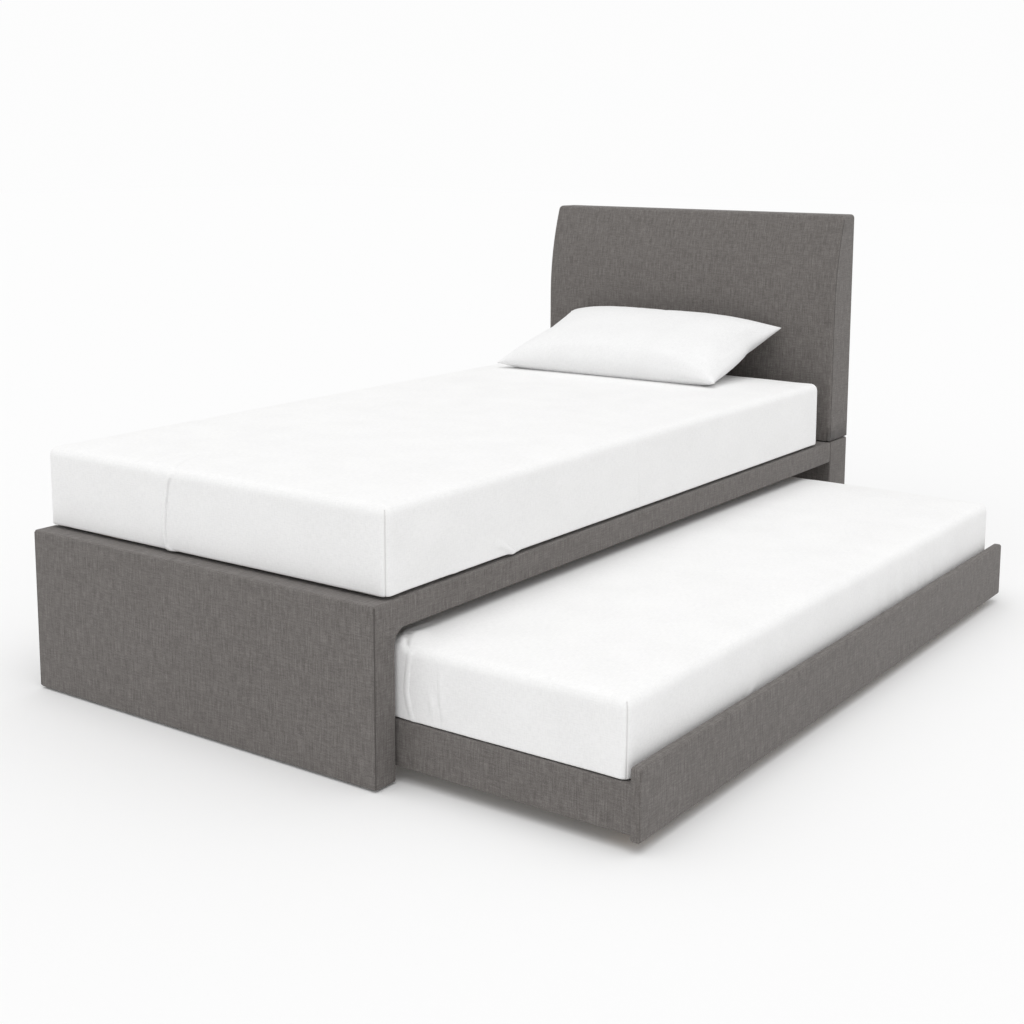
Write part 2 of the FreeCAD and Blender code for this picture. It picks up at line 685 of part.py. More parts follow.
def upper_bed():
    nodes = panel("foot", *FOOT_SPAN, thin="y")
    nodes |= panel("head", *HEAD_SPAN, thin="y")
    nodes |= panel("back", *BACK_SPAN, thin="x")
    nodes |= rail_and_gusset()
    nodes["foot_rail_cover"] = foot_rail_cover(nodes)
    nodes["head_cover"] = cover(*HEAD_SPAN)
    nodes["back_cover"] = cover(*BACK_SPAN)
    nodes |= headboard()
    ties, tie_screws = tie_plates()
    brackets, bracket_screws = corner_brackets()
    screws = tie_screws + bracket_screws
    nodes = {name: drilled_group(shape, screws) for name, shape in nodes.items()}
    nodes |= ties | brackets | ledgers_and_slats()
    nodes["floor_glides"] = floor_glides()
    half = MATTRESS_WIDTH / 2
    nodes["upper_mattress"] = mattress(
        (-half, half),
        (MATTRESS_Y, MATTRESS_Y + MATTRESS_LENGTH),
        (PANEL_TOP, PANEL_TOP + MATTRESS_HEIGHT),
    )
    nodes["pillow"] = pillow()
    return nodes


def trundle():
    nodes = fascia() | trundle_frame() | trundle_inside()
    caster_nodes, caster_screws = casters()
    front_screws = fascia_screws()
    screws = caster_screws + front_screws
    nodes = {name: drilled_group(shape, screws) for name, shape in nodes.items()}
    nodes |= caster_nodes
    nodes["fascia_screws"] = group(front_screws)
    front = FRAME_FRONT_X - TRUNDLE_MATTRESS_GAP
    nodes["trundle_mattress"] = mattress(
        (front - TRUNDLE_MATTRESS_WIDTH, front),
        TRUNDLE_MATTRESS_Y,
        (FRAME_TOP, FRAME_TOP + TRUNDLE_MATTRESS_HEIGHT),
    )
    return nodes


def drilled_group(shape, screws):
    """drilled(), for a shape of one solid or of several."""
    solids = [piece for solid in shape.Solids for piece in drilled(solid, screws).Solids]
    return solids[0] if len(solids) == 1 else group(solids)


def write(nodes):
    os.makedirs("parts", exist_ok=True)
    for name, shape in nodes.items():
        placed = shape.copy()
        placed.translate(REFERENCE * -1)
        if not placed.isValid():
            raise ValueError(f"{name} is not a valid shape")
        placed.exportStep(f"parts/{name}.step")
        print(f"{name}: {len(placed.Solids)} solid(s), {placed.Volume / 1e6:.3f} l")


write(upper_bed() | trundle())
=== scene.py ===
"""The looks of an upholstered single bed with a pull-out trundle bed, in metres."""

import json
import math

import bmesh
import bpy
import numpy as np
from mathutils import Matrix, Vector


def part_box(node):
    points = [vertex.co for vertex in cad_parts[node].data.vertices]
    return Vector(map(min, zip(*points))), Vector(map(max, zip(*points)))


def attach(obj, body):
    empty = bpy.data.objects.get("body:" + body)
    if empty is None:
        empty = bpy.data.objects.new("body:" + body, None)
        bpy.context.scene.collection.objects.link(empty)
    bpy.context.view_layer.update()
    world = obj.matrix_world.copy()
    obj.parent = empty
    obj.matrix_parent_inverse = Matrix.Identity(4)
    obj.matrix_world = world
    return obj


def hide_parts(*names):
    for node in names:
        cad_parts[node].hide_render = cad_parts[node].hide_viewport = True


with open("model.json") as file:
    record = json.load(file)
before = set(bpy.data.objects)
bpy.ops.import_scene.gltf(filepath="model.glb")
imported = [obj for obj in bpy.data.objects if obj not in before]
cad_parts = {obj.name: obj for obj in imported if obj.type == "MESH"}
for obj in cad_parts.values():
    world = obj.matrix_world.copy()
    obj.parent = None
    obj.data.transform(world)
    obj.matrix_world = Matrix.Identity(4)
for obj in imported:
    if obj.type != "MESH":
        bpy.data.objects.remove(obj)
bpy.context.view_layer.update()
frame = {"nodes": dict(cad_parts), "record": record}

NODES = frame["nodes"]

# ---- values of the look ----------------------------------------------------------

CAMERA_LENS = 54.15
CAMERA_SHIFT = (-0.0468, -0.1292)
CAMERA_PLACE = (2.0552, -3.1421, 1.2101)
CAMERA_TURNS = (34.309, -8.633, 0.459)
SKY_LIGHT = 0.71
SKY_SEEN = 0.979
SUN_STRENGTH = 1.22
SUN_WIDTH = 60
SUN_TILT = (13, 9)
FLOOR_HALF = 30.0

COVER_BEVEL = 0.005
FASCIA_BEVEL = 0.0060
FASCIA_OVERLAP = 0.006
HEADBOARD_EDGE = 0.009
HEADBOARD_BACK_EDGE = 0.0012
HEADBOARD_CORNER = 0.011
HEADBOARD_BEND_Z = 0.740
HEADBOARD_BEND_RADIUS = 0.800
HEADBOARD_CLOTH = 0.002
HEADBOARD_FOAM = 0.014
RAIL_CORNER = 0.030
TRUNDLE_BEVEL = 0.004

SEAM_RADIUS = 0.0012
BEVEL_MIDDLE = 0.29
FOOT_SEAM_LIFT = 0.004
FOOT_TUCK = ((0.003, 0.0026), (0.007, 0.0010), (0.013, 0.0028))
HEADBOARD_SEAM_RADIUS = 0.0009
HEADBOARD_SEAM_ENDS = (0.010, 0.014)
HEADBOARD_SEAM_STEPS = 24
FASCIA_SEAM_RADIUS = 0.0007
FASCIA_SEAM_INSET = 0.0022
FASCIA_SEAM_END = 0.008

MATTRESS_CORNER = 0.020
MATTRESS_BOTTOM_RIM = 0.0045
MATTRESS_LIFT_REACH = 0.030
STITCH_DEPTH = 0.0012
STITCH_WIDTH = 0.0018
STITCH_SHADE = 0.5
MATTRESS_CELL = 0.016
CREASE_CELL = 0.0020
CREASE_ZONE = 0.016
MATTRESS_SWELL = 0.003
MATTRESS_TOP_SWELL = 0.001
SWELL_SHARE = 0.6
MATTRESS_CROWN = 0.003
MATTRESS_RISE = 0.0045
MATTRESS_REST_GAP = 0.0006
FILLING_HEIGHT = 0.0012
FILLING_SPANS = (0.16, 0.31)
UPPER_FOLD_LEFT = 0.107

PILLOW_SIZE = (0.765, 0.450)
PILLOW_CELL = 0.011
PILLOW_HALF_HEIGHT = 0.070
PILLOW_SWELL = 0.006
PILLOW_FRONT_RISE = 0.026
PILLOW_BACK_RISE = 0.148
PILLOW_EDGE_GAP = 0.004
PILLOW_SAG = 0.012
PILLOW_DROOP = 0.010
PILLOW_SKEW = 0.034

LINEN_DARK = (0.110, 0.100, 0.094, 1.0)
LINEN_MIDDLE = (0.154, 0.142, 0.134, 1.0)
LINEN_LIGHT = (0.222, 0.206, 0.196, 1.0)
# Painted shade: the mattress cover's colour is darkened towards FOLD_SHADE along its creases and corner
# stitches, by the share stored in this layer.
FOLD_SHADE_LAYER = "fold"
FOLD_SHADE = (0.47, 0.46, 0.45, 1.0)
WHITE_KNIT = (0.925, 0.923, 0.920, 1.0)


# ---- camera, light and floor -------------------------------------------------------

def camera():
    """A camera beyond the foot end, on the trundle's side."""
    data = bpy.data.cameras.new("camera")
    data.lens = CAMERA_LENS
    data.sensor_width = 36.0
    data.shift_x, data.shift_y = CAMERA_SHIFT
    data.clip_end = 100.0
    obj = bpy.data.objects.new("camera", data)
    bpy.context.scene.collection.objects.link(obj)
    obj.location = CAMERA_PLACE
    yaw, pitch, roll = (math.radians(a) for a in CAMERA_TURNS)
    aim = Matrix.Rotation(yaw, 4, "Z") @ Matrix.Rotation(math.pi / 2 + pitch, 4, "X")
    obj.rotation_euler = (aim @ Matrix.Rotation(roll, 4, "Z")).to_euler()
    bpy.context.scene.camera = obj


def lights():
    """A white surround, brighter to the camera than as a light, and a soft sun overhead."""
    world = bpy.data.worlds.new("studio")
    bpy.context.scene.world = world
    world.use_nodes = True
    tree = world.node_tree
    background = tree.nodes["Background"]
    background.inputs["Color"].default_value = (1.0, 1.0, 1.0, 1.0)
    path = tree.nodes.new("ShaderNodeLightPath")
    strength = tree.nodes.new("ShaderNodeMapRange")
    strength.inputs["To Min"].default_value = SKY_LIGHT
    strength.inputs["To Max"].default_value = SKY_SEEN
    tree.links.new(path.outputs["Is Camera Ray"], strength.inputs["Value"])
    tree.links.new(strength.outputs["Result"], background.inputs["Strength"])

    sun = bpy.data.lights.new("overhead", "SUN")
    sun.energy = SUN_STRENGTH
    sun.angle = math.radians(SUN_WIDTH)
    obj = bpy.data.objects.new("overhead", sun)
    obj.rotation_euler = (*(math.radians(a) for a in SUN_TILT), 0)
    bpy.context.scene.collection.objects.link(obj)
    bpy.context.scene.view_settings.view_transform = "Standard"


def floor():
    """A wide, pale, matt floor."""
    mesh = bpy.data.meshes.new("floor")
    half = FLOOR_HALF
    corners = [(-half, -half, 0), (half, -half, 0), (half, half, 0), (-half, half, 0)]
    mesh.from_pydata(corners, [], [(0, 1, 2, 3)])
    obj = bpy.data.objects.new("floor", mesh)
    bpy.context.scene.collection.objects.link(obj)
    material, _, _, shader = new_material("floor")
    shader.inputs["Base Color"].default_value = (0.860, 0.860, 0.860, 1.0)
    shader.inputs["Roughness"].default_value = 0.9
    shader.inputs["Specular IOR Level"].default_value = 0.0
    shader.inputs["Emission Color"].default_value = (1.0, 1.0, 1.0, 1.0)
    shader.inputs["Emission Strength"].default_value = 0.05
    mesh.materials.append(material)


# ---- materials --------------------------------------------------------------------

def new_material(name):
    material = bpy.data.materials.new(name)
    material.use_nodes = True
    tree = material.node_tree
    return material, tree.nodes, tree.links, tree.nodes["Principled BSDF"]


def math_node(nodes, links, kind, first, second=None):
    """A Math node; each value is a socket or a number."""
    node = nodes.new("ShaderNodeMath")
    node.operation = kind
    for socket, value in zip(node.inputs, (first, second)):
        if isinstance(value, bpy.types.NodeSocket):
            links.new(value, socket)
        elif value is not None:
            socket.default_value = value
    return node.outputs[0]


def mix_value(nodes, links, share, first, second):
    node = nodes.new("ShaderNodeMix")
    links.new(share, node.inputs["Factor"])
    for socket, value in ((node.inputs["A"], first), (node.inputs["B"], second)):
        links.new(value, socket)
    return node.outputs["Result"]


def cloth_axes(nodes, links):
    """Distances along the cloth's two thread directions, on any face of a boxy piece."""
    place = nodes.new("ShaderNodeTexCoord")
    at = nodes.new("ShaderNodeSeparateXYZ")
    links.new(place.outputs["Object"], at.inputs[0])
    facing = nodes.new("ShaderNodeSeparateXYZ")
    links.new(place.outputs["Normal"], facing.inputs[0])

    def faces(axis):
        size = math_node(nodes, links, "ABSOLUTE", facing.outputs[axis])
        return math_node(nodes, links, "GREATER_THAN", size, 0.71)

    across = mix_value(nodes, links, faces("X"), at.outputs["X"], at.outputs["Y"])
    up = mix_value(nodes, links, faces("Z"), at.outputs["Z"], at.outputs["Y"])
    return across, up


def threads(nodes, links, across, up, fine, coarse, detail=2.0, offset=0.0):
    """Noise drawn out along one direction: fine across it and coarse along it."""
    joined = nodes.new("ShaderNodeCombineXYZ")
    links.new(math_node(nodes, links, "MULTIPLY", across, fine), joined.inputs["X"])
    links.new(math_node(nodes, links, "MULTIPLY", up, coarse), joined.inputs["Y"])
    joined.inputs["Z"].default_value = offset
    noise = nodes.new("ShaderNodeTexNoise")
    noise.inputs["Scale"].default_value = 1.0
    noise.inputs["Detail"].default_value = detail
    noise.inputs["Roughness"].default_value = 0.55
    links.new(joined.outputs[0], noise.inputs["Vector"])
    return noise.outputs["Fac"]


def colour_ramp(nodes, links, value, stops):
    ramp = nodes.new("ShaderNodeValToRGB")
    while len(ramp.color_ramp.elements) < len(stops):
        ramp.color_ramp.elements.new(0.5)
    for element, (position, colour) in zip(ramp.color_ramp.elements, stops):
        element.position = position
        element.color = colour
    links.new(value, ramp.inputs["Fac"])
    return ramp.outputs["Color"]


def bump(nodes, links, shader, height, distance, strength=1.0):
    node = nodes.new("ShaderNodeBump")
    node.inputs["Distance"].default_value = distance
    node.inputs["Strength"].default_value = strength
    links.new(height, node.inputs["Height"])
    links.new(node.outputs["Normal"], shader.inputs["Normal"])


def linen():
    """Grey-brown linen look: uneven warp and weft threads with slubs."""
    material, nodes, links, shader = new_material("linen")
    across, up = cloth_axes(nodes, links)
    parts = [
        (threads(nodes, links, across, up, 340.0, 30.0, detail=3.0), 0.36),
        (threads(nodes, links, across, up, 56.0, 390.0, offset=7.3), 0.22),
        (threads(nodes, links, across, up, 460.0, 460.0, detail=1.0, offset=15.0), 0.28),
        (threads(nodes, links, across, up, 150.0, 9.0, detail=1.0, offset=3.1), 0.07),
        (threads(nodes, links, across, up, 14.0, 210.0, detail=1.0, offset=11.7), 0.04),
        (threads(nodes, links, across, up, 4.0, 4.0, detail=2.0, offset=21.0), 0.03),
    ]
    weave = 0.0
    for value, share in parts:
        weave = math_node(nodes, links, "ADD", math_node(nodes, links, "MULTIPLY", value, share), weave)
    fine = math_node(nodes, links, "ADD", parts[0][0], parts[1][0])
    stops = [(0.385, LINEN_DARK), (0.50, LINEN_MIDDLE), (0.615, LINEN_LIGHT)]
    links.new(colour_ramp(nodes, links, weave, stops), shader.inputs["Base Color"])
    shader.inputs["Roughness"].default_value = 0.92
    shader.inputs["Specular IOR Level"].default_value = 0.25
    shader.inputs["Sheen Weight"].default_value = 0.12
    shader.inputs["Sheen Roughness"].default_value = 0.5
    bump(nodes, links, shader, fine, 0.0012, 0.5)
    return material


def shaded_seam_thread():
    """Linen in a seam, darker as painted shade of the seam's groove, with twisted thread along it."""
    material, nodes, links, shader = new_material("shaded_seam_thread")
    across, up = cloth_axes(nodes, links)
    twist = threads(nodes, links, across, up, 900.0, 900.0)
    # Painted shade: these stops are darker than the linen's and stand in for the shade in the seam.
    stops = [(0.35, (0.066, 0.060, 0.056, 1.0)), (0.65, (0.116, 0.106, 0.100, 1.0))]
    links.new(colour_ramp(nodes, links, twist, stops), shader.inputs["Base Color"])
    shader.inputs["Roughness"].default_value = 0.95
    bump(nodes, links, shader, twist, 0.0004)
    return material


def white_knit(name, colour):
    """White knitted mattress or pillow cloth with a fine rib and faint clouding, and painted shade along
    the mattress creases.
    """
    material, nodes, links, shader = new_material(name)
    across, up = cloth_axes(nodes, links)
    rib = threads(nodes, links, across, up, 430.0, 70.0)
    cross = threads(nodes, links, across, up, 90.0, 430.0, offset=4.0)
    cloud = threads(nodes, links, across, up, 9.0, 9.0, detail=4.0, offset=9.0)
    knit = math_node(nodes, links, "ADD", rib, cross)
    tone = math_node(nodes, links, "ADD", math_node(nodes, links, "MULTIPLY", knit, 0.38),
                     math_node(nodes, links, "MULTIPLY", cloud, 0.24))
    darker = tuple(0.93 * c for c in colour[:3]) + (1.0,)
    stops = [(0.38, darker), (0.58, colour)]
    # Painted shade: the colour is mixed towards FOLD_SHADE by the share in the fold layer, darkest along
    # creases and corner stitches.
    fold = nodes.new("ShaderNodeAttribute")
    fold.attribute_name = FOLD_SHADE_LAYER
    shaded = nodes.new("ShaderNodeMix")
    shaded.data_type = "RGBA"
    shaded.inputs["B"].default_value = FOLD_SHADE
    links.new(fold.outputs["Fac"], shaded.inputs["Factor"])
    links.new(colour_ramp(nodes, links, tone, stops), shaded.inputs["A"])
    links.new(shaded.outputs["Result"], shader.inputs["Base Color"])
    shader.inputs["Roughness"].default_value = 0.85
    shader.inputs["Specular IOR Level"].default_value = 0.2
    shader.inputs["Sheen Weight"].default_value = 0.08
    bump(nodes, links, shader, knit, 0.0005, 0.4)
    return material


def wood(name, light, dark, along, ring_scale=14.0):
    """Plain sawn wood, with its grain along one axis."""
    material, nodes, links, shader = new_material(name)
    place = nodes.new("ShaderNodeTexCoord")
    stretch = nodes.new("ShaderNodeMapping")
    scale = {"x": (0.06, 1.0, 1.0), "y": (1.0, 0.06, 1.0), "z": (1.0, 1.0, 0.06)}[along]
    stretch.inputs["Scale"].default_value = scale
    links.new(place.outputs["Object"], stretch.inputs["Vector"])
    rings = nodes.new("ShaderNodeTexWave")
    rings.inputs["Scale"].default_value = ring_scale
    rings.inputs["Distortion"].default_value = 7.0
    rings.inputs["Detail"].default_value = 3.0
    links.new(stretch.outputs[0], rings.inputs["Vector"])
    fibre = nodes.new("ShaderNodeTexNoise")
    fibre.inputs["Scale"].default_value = 260.0
    fibre.inputs["Detail"].default_value = 4.0
    links.new(stretch.outputs[0], fibre.inputs["Vector"])
    grain = math_node(nodes, links, "ADD",
                      math_node(nodes, links, "MULTIPLY", rings.outputs["Fac"], 0.55),
                      math_node(nodes, links, "MULTIPLY", fibre.outputs["Fac"], 0.45))
    links.new(colour_ramp(nodes, links, grain, [(0.2, dark), (0.8, light)]), shader.inputs["Base Color"])
    shader.inputs["Roughness"].default_value = 0.6
    bump(nodes, links, shader, fibre.outputs["Fac"], 0.0003, 0.5)
    return material


def speckled(name, base, spread, scale, roughness, metallic=0.0, height=0.0002):
    """A moulded, painted, plated or matted surface: fine colour, gloss and height changes."""
    material, nodes, links, shader = new_material(name)
    place = nodes.new("ShaderNodeTexCoord")
    noise = nodes.new("ShaderNodeTexNoise")
    noise.inputs["Scale"].default_value = scale
    noise.inputs["Detail"].default_value = 4.0
    links.new(place.outputs["Object"], noise.inputs["Vector"])
    low = tuple(c * (1 - spread) for c in base) + (1.0,)
    high = tuple(min(1.0, c * (1 + spread)) for c in base) + (1.0,)
    links.new(colour_ramp(nodes, links, noise.outputs["Fac"], [(0.3, low), (0.7, high)]),
              shader.inputs["Base Color"])
    gloss = nodes.new("ShaderNodeMapRange")
    gloss.inputs["To Min"].default_value = max(0.05, roughness - 0.08)
    gloss.inputs["To Max"].default_value = min(1.0, roughness + 0.08)
    links.new(noise.outputs["Fac"], gloss.inputs["Value"])
    links.new(gloss.outputs["Result"], shader.inputs["Roughness"])
    shader.inputs["Metallic"].default_value = metallic
    bump(nodes, links, shader, noise.outputs["Fac"], height, 0.6)
    return material


def all_materials():
    pine = ((0.66, 0.48, 0.28, 1.0), (0.48, 0.31, 0.16, 1.0))
    birch = ((0.74, 0.58, 0.38, 1.0), (0.58, 0.42, 0.25, 1.0))
    ply = ((0.60, 0.44, 0.27, 1.0), (0.46, 0.32, 0.18, 1.0))
    return {
        "linen": linen(),
        "seam": shaded_seam_thread(),
        "mattress": white_knit("mattress_knit", WHITE_KNIT),
        "pillow": white_knit("pillow_cotton", (0.90, 0.90, 0.90, 1.0)),
        "timber": wood("timber_pine", *pine, "y"),
        "slat_wood": wood("slat_birch", *birch, "x", 22.0),
        "plywood": wood("plywood_face", *ply, "z", 9.0),
        "foam": speckled("headboard_foam", (0.78, 0.74, 0.60), 0.06, 900.0, 0.95, height=0.001),
        "dust_cloth": speckled("dust_cloth", (0.022, 0.022, 0.024), 0.35, 1500.0, 0.9, height=0.0006),
        "zinc_steel": speckled("zinc_steel", (0.60, 0.60, 0.61), 0.08, 220.0, 0.36, 1.0),
        "black_steel": speckled("black_steel", (0.030, 0.030, 0.032), 0.15, 500.0, 0.45),
        "tyre_rubber": speckled("tyre_rubber", (0.10, 0.10, 0.105), 0.12, 700.0, 0.75),
        "nylon": speckled("nylon", (0.040, 0.040, 0.044), 0.10, 400.0, 0.42),
    }


def finish_cad_nodes(materials):
    """Every CAD node that stays takes the material of its record slot."""
    for row in frame["record"]["subparts"]:
        material = materials.get(row["material_slot"])
        if material is not None:
            mesh = NODES[row["node"]].data
            mesh.materials.clear()
            mesh.materials.append(material)


# ---- upholstered pieces -------------------------------------------------------------

def piece(name, mesh, body, material, nodes=()):
    obj = bpy.data.objects.new(name, mesh)
    bpy.context.scene.collection.objects.link(obj)
    mesh.materials.append(material)
    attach(obj, body)
    if nodes:
        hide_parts(*nodes)
    return obj


def solid_mesh(name, corners, faces):
    """A closed mesh from corner points and faces, with outward normals."""
    mesh = bpy.data.meshes.new(name)
    build = bmesh.new()
    made = [build.verts.new(corner) for corner in corners]
    for face in faces:
        build.faces.new([made[i] for i in face])
    bmesh.ops.remove_doubles(build, verts=build.verts, dist=1e-6)
    bmesh.ops.recalc_face_normals(build, faces=build.faces)
    for face in build.faces:
        face.smooth = True
    build.to_mesh(mesh)
    build.free()
    return mesh


def soften(obj, width, segments=4, angle=32.0):
    """Rounded edges, as cloth over a thin pad has."""
    bevel = obj.modifiers.new("rounded_edges", "BEVEL")
    bevel.width = width
    bevel.segments = segments
    bevel.miter_outer = "MITER_ARC"
    bevel.use_clamp_overlap = False
    bevel.limit_method = "ANGLE"
    bevel.angle_limit = math.radians(angle)
    even_normals(obj)


def even_normals(obj):
    normals = obj.modifiers.new("even_normals", "WEIGHTED_NORMAL")
    normals.keep_sharp = True


def extruded(name, outline, axis, low, high):
    """A prism whose outline is in the two axes other than axis, taken in X, Y, Z order."""
    def at(level, pair):
        point = list(pair)
        point.insert(axis, level)
        return tuple(point)

    count = len(outline)
    corners = [at(low, pair) for pair in outline] + [at(high, pair) for pair in outline]
    faces = [list(range(count)), list(range(count, 2 * count))]
    for i in range(count):
        j = (i + 1) % count
        faces.append([i, j, j + count, i + count])
    return solid_mesh(name, corners, faces)


def quarter_arc(centre, radius, start, steps=10):
    """Points of a quarter circle that starts at the angle start, in degrees, and runs clockwise."""
    angles = [math.radians(start - 90 * i / steps) for i in range(steps + 1)]
    return [(centre[0] + radius * math.cos(a), centre[1] + radius * math.sin(a)) for a in angles]


def upholstered_box(name, node, body, materials, bevel):
    """The cloth cover of a panel or board: a box with rounded edges."""
    low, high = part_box(node)
    outline = [(low.y, low.z), (high.y, low.z), (high.y, high.z), (low.y, high.z)]
    mesh = extruded(name, outline, 0, low.x, high.x)
    obj = piece(name, mesh, body, materials["linen"], [node])
    soften(obj, bevel)


def foot_and_rail(materials):
    """One skin over the foot panel and the side rail, with a rounded inner corner."""
    low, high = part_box("foot_rail_cover")
    rail_low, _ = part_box("side_rail")
    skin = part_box("foot_outer_board")[0].y - low.y
    foot_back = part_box("foot_inner_board")[1].y + skin
    rail_x, rail_z = rail_low.x - skin, rail_low.z - skin
    arc = quarter_arc((foot_back + RAIL_CORNER, rail_z - RAIL_CORNER), RAIL_CORNER, 180)
    inner = [(foot_back, rail_z - RAIL_CORNER), *arc[1:-1], (foot_back + RAIL_CORNER, rail_z)]
    corners, index = [], {}

    def at(x, y, z):
        key = (round(x, 6), round(y, 6), round(z, 6))
        if key not in index:
            index[key] = len(corners)
            corners.append(key)
        return index[key]

    def ring(points):
        faces.append([at(*p) for p in points])

    faces = []
    x0, x1, x2 = low.x, rail_x, high.x
    y0, y1, y2 = low.y, foot_back, high.y
    z0, z2 = low.z, high.z
    ring([(x0, y0, z0), (x2, y0, z0), (x2, y0, z2), (x0, y0, z2)])
    arch = [(x2, *p) for p in inner]
    ring([(x2, y0, z0), (x2, y1, z0), *arch, (x2, y2, rail_z), (x2, y2, z2), (x2, y0, z2)])
    ring([(x0, y0, z0), (x0, y1, z0), (x2, y1, z0), (x2, y0, z0)])
    ring([(x0, y0, z0), (x0, y0, z2), (x0, y1, z2), (x0, y1, z0)])
    ring([(x0, y0, z2), (x2, y0, z2), (x2, y2, z2), (x1, y2, z2), (x1, y1, z2), (x0, y1, z2)])
    step = inner[0][1]
    ring([(x0, y1, z0), (x0, y1, z2), (x1, y1, z2), (x1, y1, step), (x2, y1, step), (x2, y1, z0)])
    ring([*[(x1, *p) for p in inner], (x1, y2, rail_z), (x1, y2, z2), (x1, y1, z2)])
    for (ya, za), (yb, zb) in zip(inner, inner[1:]):
        ring([(x1, ya, za), (x2, ya, za), (x2, yb, zb), (x1, yb, zb)])
    ring([(x1, inner[-1][0], rail_z), (x2, inner[-1][0], rail_z), (x2, y2, rail_z), (x1, y2, rail_z)])
    ring([(x1, y2, rail_z), (x2, y2, rail_z), (x2, y2, z2), (x1, y2, z2)])
    mesh = solid_mesh("foot_rail_cloth", corners, faces)
    obj = piece("foot_rail_cloth", mesh, "bed_base", materials["linen"], ["foot_rail_cover"])
    soften(obj, COVER_BEVEL)


def trundle_wrap(materials):
    """The cloth strip round the trundle's two ends and its rear, with the front open."""
    low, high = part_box("trundle_cover")
    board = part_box("trundle_foot_end")[1].y
    far_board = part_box("trundle_head_end")[0].y
    rear_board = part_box("trundle_rear_rail")[1].x
    front = high.x + FASCIA_OVERLAP
    outline = [
        (front, low.y), (low.x, low.y), (low.x, high.y), (front, high.y),
        (front, far_board), (rear_board, far_board), (rear_board, board), (front, board),
    ]
    mesh = extruded("trundle_cloth", outline, 2, low.z, high.z)
    obj = piece("trundle_cloth", mesh, "trundle", materials["linen"], ["trundle_cover"])
    soften(obj, TRUNDLE_BEVEL, segments=3)


def headboard_front(low):
    """The front face's Y at each height: upright, then curving back towards the top."""
    def front(z):
        rise = max(0.0, z - HEADBOARD_BEND_Z)
        bow = HEADBOARD_BEND_RADIUS - math.sqrt(HEADBOARD_BEND_RADIUS ** 2 - rise ** 2)
        return low.y + bow

    return front


def headboard_form(name, low, high, front, back, corner, edge):
    """A closed form between two faces, each given as Y at a height.

    Its top corners and the edge round its front face are round.
    """
    levels = [
        *np.linspace(low.z, HEADBOARD_BEND_Z, 8)[:-1],
        *np.linspace(HEADBOARD_BEND_Z, high.z - corner, 22)[:-1],
    ]
    turns = [math.radians(90 * i / 8) for i in range(9)]

    def ring(inset, face, depth):
        left = [(low.x + inset, z) for z in levels]
        centre_x, centre_z, radius = low.x + corner, high.z - corner, corner - inset
        left += [(centre_x - radius * math.cos(a), centre_z + radius * math.sin(a)) for a in turns]
        right = [(low.x + high.x - x, z) for x, z in reversed(left)]
        return [(x, face(z) + depth, z) for x, z in left + right]

    angles = [math.radians(90 * i / 6) for i in range(7)]
    rings = [ring(edge * (1 - math.cos(a)), front, edge * (1 - math.sin(a))) for a in reversed(angles)]
    rings += [ring(0.0, back, -HEADBOARD_BACK_EDGE), ring(HEADBOARD_BACK_EDGE, back, 0.0)]
    count = len(rings[0])
    corners = [point for one in rings for point in one]
    faces = []
    for start in (0, len(corners) - count):
        for i in range(count // 2 - 1):
            faces.append([start + i, start + i + 1, start + count - 2 - i, start + count - 1 - i])
    for s in range(len(rings) - 1):
        for i in range(count):
            j = (i + 1) % count
            a, b = s * count, (s + 1) * count
            faces.append([a + i, a + j, b + j, b + i])
    return solid_mesh(name, corners, faces)


def headboard_cloth(materials):
    """The headboard's cloth and the foam under it."""
    low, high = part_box("headboard_cover")
    front = headboard_front(low)
    mesh = headboard_form(
        "headboard_cloth", low, high, front, lambda z: high.y, HEADBOARD_CORNER, HEADBOARD_EDGE,
    )
    obj = piece("headboard_cloth", mesh, "bed_base", materials["linen"], ["headboard_cover"])
    even_normals(obj)
    inset = Vector((HEADBOARD_CLOTH, 0, HEADBOARD_CLOTH))

    def foam_front(z):
        return front(z) + HEADBOARD_CLOTH

    def foam_back(z):
        return front(z) + HEADBOARD_CLOTH + HEADBOARD_FOAM

    mesh = headboard_form(
        "foam_pad", low + inset, high - inset, foam_front, foam_back,
        HEADBOARD_CORNER - HEADBOARD_CLOTH, HEADBOARD_EDGE - HEADBOARD_CLOTH,
    )
    obj = piece("foam_pad", mesh, "bed_base", materials["foam"], ["headboard_foam"])
    even_normals(obj)
    return front


def seam(name, points, body, materials, radius=SEAM_RADIUS):
    """A closed seam line: a thin ridge of thread laid in the cloth along points, in a darker material
    that is painted shade of the seam.
    """
    curve = bpy.data.curves.new(name, "CURVE")
    curve.dimensions = "3D"
    curve.bevel_depth = radius
    curve.bevel_resolution = 2
    curve.use_fill_caps = True
    spline = curve.splines.new("POLY")
    spline.points.add(len(points) - 1)
    for point, place in zip(spline.points, points):
        point.co = (*place, 1.0)
    obj = bpy.data.objects.new(name, curve)
    bpy.context.scene.collection.objects.link(obj)
    curve.materials.append(materials["seam"])
    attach(obj, body)


def foot_seams(materials):
    """Seams up the foot panel's two outer corners, and a tuck at the top of one."""
    low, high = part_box("foot_rail_cover")
    inset = COVER_BEVEL * BEVEL_MIDDLE
    bottom, top = low.z + FOOT_SEAM_LIFT, high.z - COVER_BEVEL
    corner = (high.x - inset, low.y + inset)
    left = (low.x + inset, low.y + inset)
    seam("foot_corner_seam", [(*corner, bottom), (*corner, top)], "bed_base", materials)
    seam("foot_left_seam", [(*left, bottom), (*left, top)], "bed_base", materials)
    tuck = [(*corner, top)]
    tuck += [(high.x - reach, low.y + reach, high.z - depth) for reach, depth in FOOT_TUCK]
    seam("foot_corner_tuck", tuck, "bed_base", materials)


